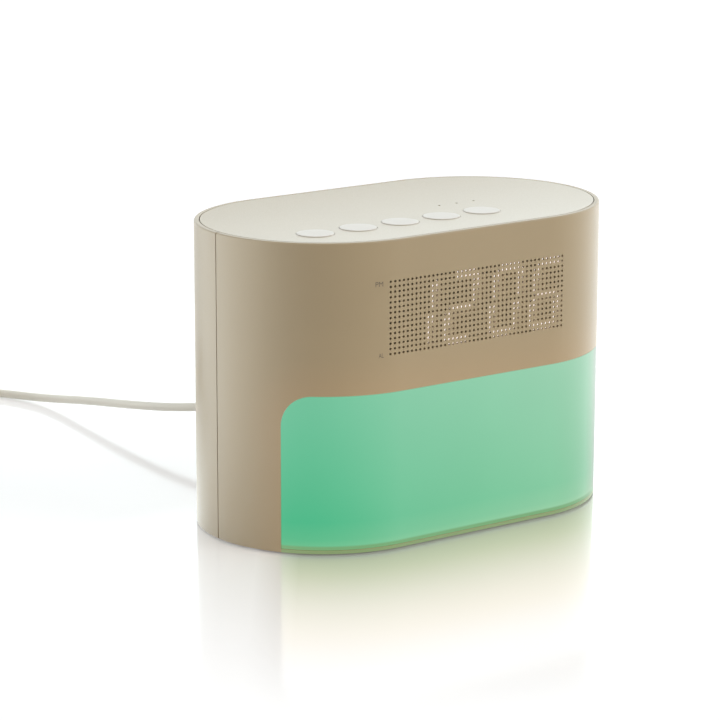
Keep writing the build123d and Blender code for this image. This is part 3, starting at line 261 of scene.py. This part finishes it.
LIP_GLOW = (0.14, 0.33, 0.12)       # the diffuser's darker lower edge
LIP_HEIGHTS = (2.9 * MM, 3.6 * MM)  # over which it passes to the colour above
LENS_HALO = [                # the lamp's light in the casing round it, by distance
    (0.0, (0.045, 0.018, 0.004)),
    (5.0, (0.03, 0.012, 0.003)),
    (14.0, (0.008, 0.004, 0.001)),
    (26.0, (0.0, 0.0, 0.0)),
]

RAIL_TOP = 1.75 * MM         # of the casing's narrow rail below the diffuser
# painted light: dark green base of the rail, standing in for the tan plastic tinted by the diffuser's
# light
RAIL_LAMPLIT_TINT = (0.06, 0.10, 0.05)
# painted glow: the diffuser's light on the rail, as emission
RAIL_GLOW = (0.155, 0.21, 0.075)
RAIL_MIRRORED = [            # painted reflection: the rail's darker image in glossy surfaces, by height
    (0.0, (0.0, 0.0, 0.0)),
    (1.75, (0.12, 0.14, 0.0)),
]

SEGMENT_BASE = (0.8, 0.75, 0.7)
SEGMENT_GLOW = (1.0, 0.90, 0.87)
SEGMENT_LEVEL = (1.2, 1.55)
SEGMENT_ROUGH = (0.3, 0.4)


def ramp_over(tree, value, stops):
    """Colours by a length; stops are (millimetres, linear colour)."""
    first, last = stops[0][0], stops[-1][0]
    share = spread(tree, value, 0.0, 1.0, first * MM, last * MM)
    return ramp(tree, share, [((at - first) / (last - first), colour) for at, colour in stops])


def make_diffuser():
    """Milky plastic lit from inside: paler to the right and towards its upper edge."""
    material, tree, shader, place = new_material("diffuser")
    x, _, z = axes(tree, place)
    glow = add_colour(tree, ramp_over(tree, x, LENS_ACROSS), ramp_over(tree, z, LENS_UP))
    glow = mix(tree, spread(tree, z, 1.0, 0.0, *LIP_HEIGHTS), glow, LIP_GLOW)
    path = tree.nodes.new("ShaderNodeLightPath")
    # painted reflection: glossy rays see the diffuser in the warmer colour of LENS_MIRRORED
    glow = mix(tree, path.outputs["Is Glossy Ray"], glow, ramp_over(tree, z, LENS_MIRRORED))
    tree.links.new(glow, shader.inputs["Emission Color"])
    clouds = spread(tree, noise(tree, place, 0.03, 1.0), *LENS_CLOUDS)
    tree.links.new(clouds, shader.inputs["Emission Strength"])
    shader.inputs["Base Color"].default_value = (*LENS_BASE, 1.0)
    shader.inputs["Specular IOR Level"].default_value = 0.0
    shader.inputs["Coat Weight"].default_value = 1.0
    shader.inputs["Coat IOR"].default_value = LENS_COAT_IOR
    fine = noise(tree, place, 0.0006, 2.0)
    tree.links.new(spread(tree, fine, *LENS_COAT_ROUGH), shader.inputs["Coat Roughness"])
    bump(tree, shader, fine, 0.000003)
    return material


def past_diffuser(tree, along, z):
    """How far a place on the casing lies outside the diffuser's rounded outline."""
    beside = maths(tree, "MAXIMUM", maths(tree, "SUBTRACT", along, LENS_EDGE - LENS_CORNER), 0.0)
    above = maths(tree, "MAXIMUM", maths(tree, "SUBTRACT", z, LENS_TOP - LENS_CORNER), 0.0)
    square = maths(
        tree, "ADD", maths(tree, "MULTIPLY", beside, beside), maths(tree, "MULTIPLY", above, above)
    )
    return maths(tree, "SUBTRACT", maths(tree, "SQRT", square), LENS_CORNER)


def make_front_casing():
    """The casing's plastic, with the lamp's light painted on as glow round the diffuser and in the rail
    below it.
    """
    material = surface("casing_front", CASING_COLOUR, CASING_ROUGH, **CASING_TEXTURE)
    tree = material.node_tree
    shader = next(n for n in tree.nodes if n.type == "BSDF_PRINCIPLED")
    x, y, z = axes(tree, tree.nodes.new("ShaderNodeTexCoord").outputs["Object"])
    along = maths(tree, "ABSOLUTE", along_casing(tree, x, y))
    halo = ramp_over(tree, past_diffuser(tree, along, z), LENS_HALO)
    rail = maths(tree, "MULTIPLY", maths(tree, "LESS_THAN", z, RAIL_TOP),
                 maths(tree, "LESS_THAN", along, LENS_EDGE))
    path = tree.nodes.new("ShaderNodeLightPath")
    # painted glow on the rail, and its painted darker reflection for glossy rays
    rail_glow = mix(
        tree, path.outputs["Is Glossy Ray"], RAIL_GLOW, ramp_over(tree, z, RAIL_MIRRORED)
    )
    glow = mix(tree, rail, halo, rail_glow)
    tree.links.new(glow, shader.inputs["Emission Color"])
    plain = shader.inputs["Base Color"].links[0].from_socket
    # painted light: the rail's base colour is swapped for its lamp-lit tint
    tree.links.new(mix(tree, rail, plain, RAIL_LAMPLIT_TINT), shader.inputs["Base Color"])
    shader.inputs["Emission Strength"].default_value = 1.0
    return material


def make_panel():
    """The casing's plastic, with a sheen that grows towards the front."""
    material = surface("panel", CASING_COLOUR, CASING_ROUGH, **CASING_TEXTURE)
    tree = material.node_tree
    shader = next(n for n in tree.nodes if n.type == "BSDF_PRINCIPLED")
    _, y, _ = axes(tree, tree.nodes.new("ShaderNodeTexCoord").outputs["Object"])
    sheen = spread(tree, y, PANEL_SHEEN, 0.0, -END_RADIUS, END_RADIUS)
    tree.links.new(sheen, shader.inputs["Coat Weight"])
    shader.inputs["Coat Roughness"].default_value = CASING_ROUGH
    return material


def make_lit_segments():
    """Milky segments of the time display with a light behind them."""
    material, tree, shader, place = new_material("segment_lit")
    level = spread(tree, noise(tree, place, 0.002), *SEGMENT_LEVEL)
    shader.inputs["Base Color"].default_value = (*SEGMENT_BASE, 1.0)
    shader.inputs["Emission Color"].default_value = (*SEGMENT_GLOW, 1.0)
    tree.links.new(level, shader.inputs["Emission Strength"])
    tree.links.new(spread(tree, level, *SEGMENT_ROUGH, *SEGMENT_LEVEL), shader.inputs["Roughness"])
    return material


def make_board():
    """Green solder mask with faint tracks."""
    material, tree, shader, place = new_material("circuit_board")
    tracks = tree.nodes.new("ShaderNodeTexBrick")
    tracks.inputs["Scale"].default_value = 260.0
    tracks.inputs["Mortar Size"].default_value = 0.03
    tree.links.new(place, tracks.inputs["Vector"])
    tree.links.new(
        mix(tree, tracks.outputs["Fac"], (0.012, 0.085, 0.03), (0.03, 0.16, 0.06)),
        shader.inputs["Base Color"],
    )
    fine = noise(tree, place, 0.001)
    tree.links.new(spread(tree, fine, 0.3, 0.45), shader.inputs["Roughness"])
    bump(tree, shader, tracks.outputs["Fac"], 0.00003)
    return material


def make_copper():
    """Enamelled wire, wound in fine level turns."""
    material, tree, shader, place = new_material("copper")
    turns = tree.nodes.new("ShaderNodeTexWave")
    turns.bands_direction = "Y"
    turns.inputs["Scale"].default_value = 1200.0
    tree.links.new(place, turns.inputs["Vector"])
    wound = turns.outputs["Fac"]
    tree.links.new(mix(tree, wound, (0.30, 0.10, 0.04), (0.62, 0.25, 0.12)), shader.inputs["Base Color"])
    tree.links.new(spread(tree, wound, 0.25, 0.4, 0.0, 1.0), shader.inputs["Roughness"])
    shader.inputs["Metallic"].default_value = 0.9
    bump(tree, shader, wound, 0.00005)
    return material


finishes = {
    "casing": surface("casing", CASING_COLOUR, CASING_ROUGH, **CASING_TEXTURE),
    "panel": make_panel(),
    "button": surface("button", linear(199, 190, 178), 0.33, vary=0.01, cloud=0.02, coat=0.15,
                      Coat_Roughness=0.33),
    "diffuser": make_diffuser(),
    "base": surface("base", linear(160, 142, 112), 0.6, vary=0.04, grain=0.0008, relief=0.00008),
    "rubber": surface("rubber", linear(52, 50, 48), 0.8, vary=0.1, relief=0.00006),
    "circuit_board": make_board(),
    "black_plastic": surface("black_plastic", linear(46, 35, 18), 0.55, vary=0.1),
    "segment_lit": make_lit_segments(),
    "segment_dark": surface("segment_dark", linear(92, 76, 52), 0.4, vary=0.05, cloud=0.003),
    "white_plastic": surface("white_plastic", linear(236, 236, 232), 0.5, vary=0.02),
    "led": surface("led", linear(242, 236, 200), 0.3, vary=0.04, cloud=0.002),
    "light_pipe": surface("light_pipe", linear(215, 222, 222), 0.08, vary=0.02,
                          Transmission_Weight=0.8, IOR=1.49),
    "switch_plunger": surface("switch_plunger", linear(196, 188, 170), 0.45, vary=0.03),
    "steel": surface("steel", linear(178, 178, 180), 0.32, vary=0.06, cloud=0.004, metallic=1.0),
    "capacitor": surface("capacitor", linear(160, 162, 168), 0.28, vary=0.05, metallic=0.9),
    "cone_paper": surface("cone_paper", linear(44, 44, 46), 0.9, vary=0.25, cloud=0.002,
                          grain=0.0006, relief=0.0001),
    "surround_rubber": surface("surround_rubber", linear(30, 30, 30), 0.55, vary=0.1),
    "foam": surface("foam", linear(50, 50, 52), 0.95, vary=0.3, cloud=0.001, relief=0.0002),
    "copper": make_copper(),
    "ribbon": surface("ribbon", linear(196, 196, 190), 0.5, vary=0.05, cloud=0.001),
    "wire": surface("wire", linear(160, 34, 28), 0.4, vary=0.05),
    "cord": surface("cord", linear(236, 231, 218), 0.42, vary=0.02, cloud=0.01),
    "tie": surface("tie", linear(70, 70, 70), 0.75, vary=0.1, relief=0.0001),
    "plug_grip": surface("plug_grip", linear(226, 220, 206), 0.42, vary=0.02),
    "plug_shell": surface("plug_shell", linear(205, 206, 208), 0.18, vary=0.03, metallic=1.0),
    "plug_tongue": surface("plug_tongue", linear(232, 232, 228), 0.45, vary=0.02),
}

node_finishes = {"front_casing": make_front_casing()}

# ---------------------------------------------------------------- finishes on the CAD nodes
SMOOTH_BELOW = math.radians(28)        # edges that turn more than this stay sharp
WELD_WITHIN = 1e-6
for part in frame["record"]["subparts"]:
    node = frame["nodes"][part["node"]]
    node.data.materials.clear()
    node.data.materials.append(
        node_finishes.get(part["node"], finishes[part["material_slot"]])
    )
    node.data.polygons.foreach_set("use_smooth", [True] * len(node.data.polygons))
    weld = node.modifiers.new("weld", "WELD")
    weld.merge_threshold = WELD_WITHIN
    edges = node.modifiers.new("edges", "EDGE_SPLIT")
    edges.split_angle = SMOOTH_BELOW
    edges.use_edge_sharp = False
    node.modifiers.new("normals", "WEIGHTED_NORMAL")

# ---------------------------------------------------------------- lead, in millimetres
CORD_ROUTE = [               # from the strain relief to the coil
    (0.0, 62.0, 22.0),
    (0.0, 77.0, 22.0),
    (-11.0, 98.0, 18.4),
    (-20.5, 121.0, 14.3),
    (-24.8, 150.0, 10.4),
    (-26.8, 178.0, 6.6),
    (-29.5, 203.0, 2.6),
    (-37.0, 222.0, 1.7),
]
TAIL_ROUTE = [               # from the coil to the plug
    (-93.2, 227.0, 11.3),
    (-96.8, 213.0, 7.2),
    (-101.3, 199.5, 4.0),
    (-104.3, 187.5, 4.0),
]
COIL_CENTRE = (-68.8, 233.8)
COIL_RINGS = (15.15, 18.5, 21.85)      # radii of the turns that lie side by side
COIL_LAYERS = (1.65, 4.95, 8.25, 11.55)
COIL_START = 25.0                      # degrees, on the outer ring
COIL_END = 165.0
COIL_POINTS = 24                       # in each turn
COIL_CHANGE = 60.0                     # degrees over which a turn passes to its next place
COIL_BULGE = 1.4                       # how far it swings out as it climbs a layer
FULL_TURNS = 10

inner, middle, outer = COIL_RINGS
coil_places = [
    (ring, height)
    for level, height in enumerate(COIL_LAYERS)
    for ring in ((outer, middle, inner) if level % 2 == 0 else (inner, middle, outer))
]


def coil_point(turned):
    """A point of the winding, `turned` degrees on from its start."""
    turn = min(int(turned // 360), FULL_TURNS)
    (ring, height), (next_ring, next_height) = coil_places[turn], coil_places[turn + 1]
    into = turned - 360 * turn
    passed = max(0.0, (into - 360 + COIL_CHANGE) / COIL_CHANGE)
    if turn == FULL_TURNS:
        passed = into / (COIL_END - COIL_START)
        next_ring, next_height = outer, height
    radius = ring + passed * (next_ring - ring)
    if next_height != height:
        side = -1 if ring == inner else 1
        radius += side * COIL_BULGE * math.sin(math.pi * passed)
    angle = math.radians(COIL_START + turned)
    return (
        COIL_CENTRE[0] + radius * math.cos(angle),
        COIL_CENTRE[1] + radius * math.sin(angle),
        height + passed * (next_height - height),
    )


coil_degrees = 360 * FULL_TURNS + COIL_END - COIL_START
coil_steps = round(coil_degrees / 360 * COIL_POINTS)
coil_points = [coil_point(coil_degrees * k / coil_steps) for k in range(coil_steps + 1)]


def make_cord(route):
    """A round lead along a smooth curve through its route."""
    data = bpy.data.curves.new("lead", "CURVE")
    data.dimensions = "3D"
    data.bevel_depth = CORD_RADIUS
    data.bevel_resolution = 5
    data.resolution_u = 6
    data.use_fill_caps = True
    line = data.splines.new("NURBS")
    line.points.add(len(route) - 1)
    for point, (x, y, z) in zip(line.points, route):
        point.co = (x * MM, y * MM, z * MM, 1.0)
    line.order_u = 3
    line.use_endpoint_u = True
    data.materials.append(finishes["cord"])
    cord = bpy.data.objects.new("lead", data)
    scene.collection.objects.link(cord)
    return cord


lead = make_cord(CORD_ROUTE + coil_points + TAIL_ROUTE)
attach(lead, "clock")
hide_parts("power_cord", "cord_coil", "cord_tail")

# ---------------------------------------------------------------- legends
LEGEND_LIFT = 0.03 * MM
LEGENDS = [
    # letters, place along the casing's face from the middle, height, width, letter height
    ("PM", -42.7 * MM, 94.8 * MM, 2.9 * MM, 1.75 * MM),
    ("AL", -41.9 * MM, 69.7 * MM, 1.95 * MM, 1.6 * MM),
]
ink = surface("legend_ink", linear(102, 90, 74), 0.5, vary=0.04, cloud=0.001, grain=0.0002)


def make_legend(letters, along, bottom, width, height):
    """Tiny letters on the round left end of the casing."""
    data = bpy.data.curves.new("legend_" + letters.lower(), "FONT")
    data.body = letters
    data.size = height
    data.materials.append(ink)
    legend = bpy.data.objects.new("legend_" + letters.lower(), data)
    scene.collection.objects.link(legend)
    bpy.context.view_layer.update()
    corners = [Vector(corner) for corner in legend.bound_box]
    low = Vector(min(c[k] for c in corners) for k in range(3))
    high = Vector(max(c[k] for c in corners) for k in range(3))
    fit = (
        Matrix.Diagonal((width / (high.x - low.x), height / (high.y - low.y), 1.0, 1.0))
        @ Matrix.Translation((-(low.x + high.x) / 2, -low.y, 0.0))
    )
    angle = (-along - END_CENTRE) / END_RADIUS
    reach = END_RADIUS + LEGEND_LIFT
    outward = Vector((-math.sin(angle), -math.cos(angle), 0.0))
    rightward = Vector((math.cos(angle), -math.sin(angle), 0.0))
    turn = Matrix((rightward, Vector((0, 0, 1)), outward)).transposed().to_4x4()
    foot = Vector((-END_CENTRE, 0.0, bottom)) + reach * outward
    legend.matrix_world = Matrix.Translation(foot) @ turn @ fit
    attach(legend, "clock")


for legend_facts in LEGENDS:
    make_legend(*legend_facts)

# ---------------------------------------------------------------- floor and surroundings
FLOOR_HALF = 3.0
FLOOR_BASE = (0.8, 0.8, 0.8)
FLOOR_ROUGH = 0.9
FLOOR_GLOSS_ROUGH = (0.09, 0.12)
FLOOR_GLOW = 0.12            # light that the floor gives the clock
FLOOR_LIT = 0.68             # what it gets from the studio's light and sends back
FLOOR_SEEN = 0.27            # and what the camera sees on top of it
SHEEN = (0.42, 0.70)         # share of mirror image at the clock: on its left, and by the diffuser
SHEEN_SPLIT = (-50.0 * MM, -35.0 * MM)
SHEEN_REAR = 0.52            # what is left of it behind the clock
SHEEN_REACH = (0.16, 0.17)   # how far from the clock that image fades out
NEAR_GLOSS = (0.65, 0.12)     # painted shade: reflections show the floor darker beside the clock, out to where
GLOSS_FRONT = 0.85           # brightness seen in reflections: from the front
GLOSS_REAR = 1.6             # from behind
GLOSS_LEFT = 2.75            # and what the bright back left adds
GLOSS_RIGHT = 0.5            # and the right
GLOSS_TURN = (-0.2, 0.8)     # over which the level passes from the rear's to the front's
GLOSS_POWER = 3.0            # how narrow the brighter left and right are
GLOSS_ABOVE = 1.07           # how much brighter the sky of the studio is than its floor
SKY_RISE = 0.2               # share of the way up at which it is
BACK_LEFT = Vector((-0.848, 0.530, 0.0))
GLOSS_TINT = (0.92, 1.0, 1.01)
RIGHT = Vector((1.0, 0.0, 0.0))
FRONT = Vector((0.0, -1.0, 0.0))
KEY_SIDE = Vector((0.526, -0.724, 0.447))
FILL_SIDE = Vector((-0.632, 0.632, 0.447))
KEY_POWER = 16.0
FILL_POWER = 1.0
WORLD_SOFT = (0.30, 0.28)    # soft light from all round: level with the clock, and overhead
WORLD_KEY = 6.3              # more of it from the front right
WORLD_FILL = 0.57            # and some from the back left
WORLD_SEEN = 1.1             # plain white behind the clock


def dot(tree, direction, vector):
    """How far a direction or a place reaches along a vector."""
    node = tree.nodes.new("ShaderNodeVectorMath")
    node.operation = "DOT_PRODUCT"
    tree.links.new(direction, node.inputs[0])
    node.inputs[1].default_value = vector
    return node.outputs["Value"]


def lobe(tree, direction, side, power, strength):
    """Light that comes from one side: `strength` along it, less away from it."""
    facing = maths(tree, "MAXIMUM", dot(tree, direction, side), 0.0)
    return maths(tree, "MULTIPLY", maths(tree, "POWER", facing, power), strength)


def gloss_level(tree, direction):
    """Brightness of the surroundings, as glossy surfaces mirror them."""
    front = dot(tree, direction, FRONT)
    level = spread(tree, front, GLOSS_REAR, GLOSS_FRONT, *GLOSS_TURN)
    level = maths(tree, "ADD", level, lobe(tree, direction, BACK_LEFT, GLOSS_POWER, GLOSS_LEFT))
    return maths(tree, "ADD", level, lobe(tree, direction, RIGHT, GLOSS_POWER, GLOSS_RIGHT))


def mirror_share(tree, path):
    """1 for a ray that has only met glossy surfaces since the camera."""
    straight = maths(tree, "LESS_THAN", path.outputs["Diffuse Depth"], 0.5)
    return maths(tree, "MULTIPLY", path.outputs["Is Glossy Ray"], straight)


def past_clock(tree, x, y):
    """How far a place on the floor lies from the clock's round ends and its front."""
    past_end = maths(tree, "SUBTRACT", maths(tree, "ABSOLUTE", x), END_CENTRE)
    past_end = maths(tree, "MAXIMUM", past_end, 0.0)
    ahead = maths(tree, "MINIMUM", y, 0.0)
    square = maths(
        tree, "ADD", maths(tree, "MULTIPLY", past_end, past_end), maths(tree, "MULTIPLY", ahead, ahead)
    )
    return maths(tree, "SUBTRACT", maths(tree, "SQRT", square), END_RADIUS)


def floor_sheen(tree, place, y, away):
    """Share of mirror image in the floor: most at the clock's foot, less behind it."""
    across = dot(tree, place, Vector((-toward_camera.y, toward_camera.x, 0.0)).normalized())
    reach = spread(tree, across, *SHEEN_REACH, *SHEEN_SPLIT)
    fade = maths(tree, "DIVIDE", maths(tree, "MAXIMUM", away, 0.0), reach)
    fade = maths(tree, "SUBTRACT", 1.0, maths(tree, "MINIMUM", 1.0, fade))
    sheen = maths(tree, "MULTIPLY", spread(tree, across, *SHEEN, *SHEEN_SPLIT), fade)
    return maths(tree, "MULTIPLY", sheen, spread(tree, y, 1.0, SHEEN_REAR, 0.0, END_RADIUS))


def make_floor():
    """White board, glossy near the clock; its sheen fades with the distance from the clock."""
    data = bpy.data.meshes.new("floor")
    corners = [(-1, -1), (1, -1), (1, 1), (-1, 1)]
    data.from_pydata([(x * FLOOR_HALF, y * FLOOR_HALF, 0.0) for x, y in corners], [], [(0, 1, 2, 3)])
    floor = bpy.data.objects.new("floor", data)
    scene.collection.objects.link(floor)

    material, tree, shader, place = new_material("floor")
    shader.inputs["Base Color"].default_value = (*FLOOR_BASE, 1.0)
    shader.inputs["Roughness"].default_value = FLOOR_ROUGH
    shader.inputs["Specular IOR Level"].default_value = 0.0
    x, y, _ = axes(tree, place)
    away = past_clock(tree, x, y)
    # lit from the far side of the studio: brightest to the camera and in reflections
    path = tree.nodes.new("ShaderNodeLightPath")
    outward = tree.nodes.new("ShaderNodeVectorMath")
    outward.operation = "NORMALIZE"
    tree.links.new(place, outward.inputs[0])
    seen = maths(tree, "MULTIPLY", path.outputs["Is Camera Ray"], FLOOR_SEEN)
    level = maths(tree, "ADD", seen, FLOOR_GLOW)
    # reflections see the floor as bright as the studio in that direction, with painted shade beside the
    # clock
    mirrored = maths(
        tree, "MULTIPLY", gloss_level(tree, outward.outputs["Vector"]),
        spread(tree, away, NEAR_GLOSS[0], 1.0, 0.0, NEAR_GLOSS[1]),
    )
    mirrored = maths(tree, "SUBTRACT", mirrored, FLOOR_GLOW + FLOOR_LIT)
    mirror = mirror_share(tree, path)
    mirrored = maths(tree, "MULTIPLY", mirror, mirrored)
    tree.links.new(mix(tree, mirror, (1.0, 1.0, 1.0), GLOSS_TINT), shader.inputs["Emission Color"])
    tree.links.new(maths(tree, "ADD", level, mirrored), shader.inputs["Emission Strength"])
    gloss = tree.nodes.new("ShaderNodeBsdfGlossy")
    gloss.inputs["Color"].default_value = (1.0, 1.0, 1.0, 1.0)
    tree.links.new(
        spread(tree, noise(tree, place, 0.02), *FLOOR_GLOSS_ROUGH), gloss.inputs["Roughness"]
    )
    blend = tree.nodes.new("ShaderNodeMixShader")
    tree.links.new(floor_sheen(tree, place, y, away), blend.inputs["Fac"])
    tree.links.new(shader.outputs["BSDF"], blend.inputs[1])
    tree.links.new(gloss.outputs["BSDF"], blend.inputs[2])
    output = next(n for n in tree.nodes if n.type == "OUTPUT_MATERIAL")
    tree.links.new(blend.outputs["Shader"], output.inputs["Surface"])
    data.materials.append(material)


def make_world():
    """White surroundings; the camera itself sees plain white."""
    world = bpy.data.worlds.new("studio")
    scene.world = world
    world.use_nodes = True
    tree = world.node_tree
    tree.nodes.clear()
    output = tree.nodes.new("ShaderNodeOutputWorld")
    direction = tree.nodes.new("ShaderNodeTexCoord").outputs["Generated"]
    _, _, z = axes(tree, direction)
    key = lobe(tree, direction, KEY_SIDE, KEY_POWER, WORLD_KEY)
    fill = lobe(tree, direction, FILL_SIDE, FILL_POWER, WORLD_FILL)
    soft = maths(tree, "ADD", maths(tree, "ADD", key, fill), spread(tree, z, *WORLD_SOFT, 0.0, 1.0))
    path = tree.nodes.new("ShaderNodeLightPath")
    above = spread(tree, z, 1.0, GLOSS_ABOVE, 0.0, SKY_RISE)
    mirrored = maths(tree, "MULTIPLY", gloss_level(tree, direction), above)
    mirror = mirror_share(tree, path)
    mirrored = maths(tree, "MULTIPLY", mirror, mirrored)
    seen = maths(tree, "MULTIPLY", path.outputs["Is Camera Ray"], WORLD_SEEN)
    others = maths(tree, "SUBTRACT", 1.0, maths(
        tree, "MAXIMUM", mirror, path.outputs["Is Camera Ray"]
    ))
    level = maths(tree, "ADD", maths(tree, "ADD", mirrored, seen), maths(tree, "MULTIPLY", others, soft))
    light = tree.nodes.new("ShaderNodeBackground")
    tree.links.new(mix(tree, mirror, (1.0, 1.0, 1.0), GLOSS_TINT), light.inputs["Color"])
    tree.links.new(level, light.inputs["Strength"])
    tree.links.new(light.outputs["Background"], output.inputs["Surface"])


make_floor()
make_world()

scene.view_settings.view_transform = "Standard"
scene.view_settings.look = "None"
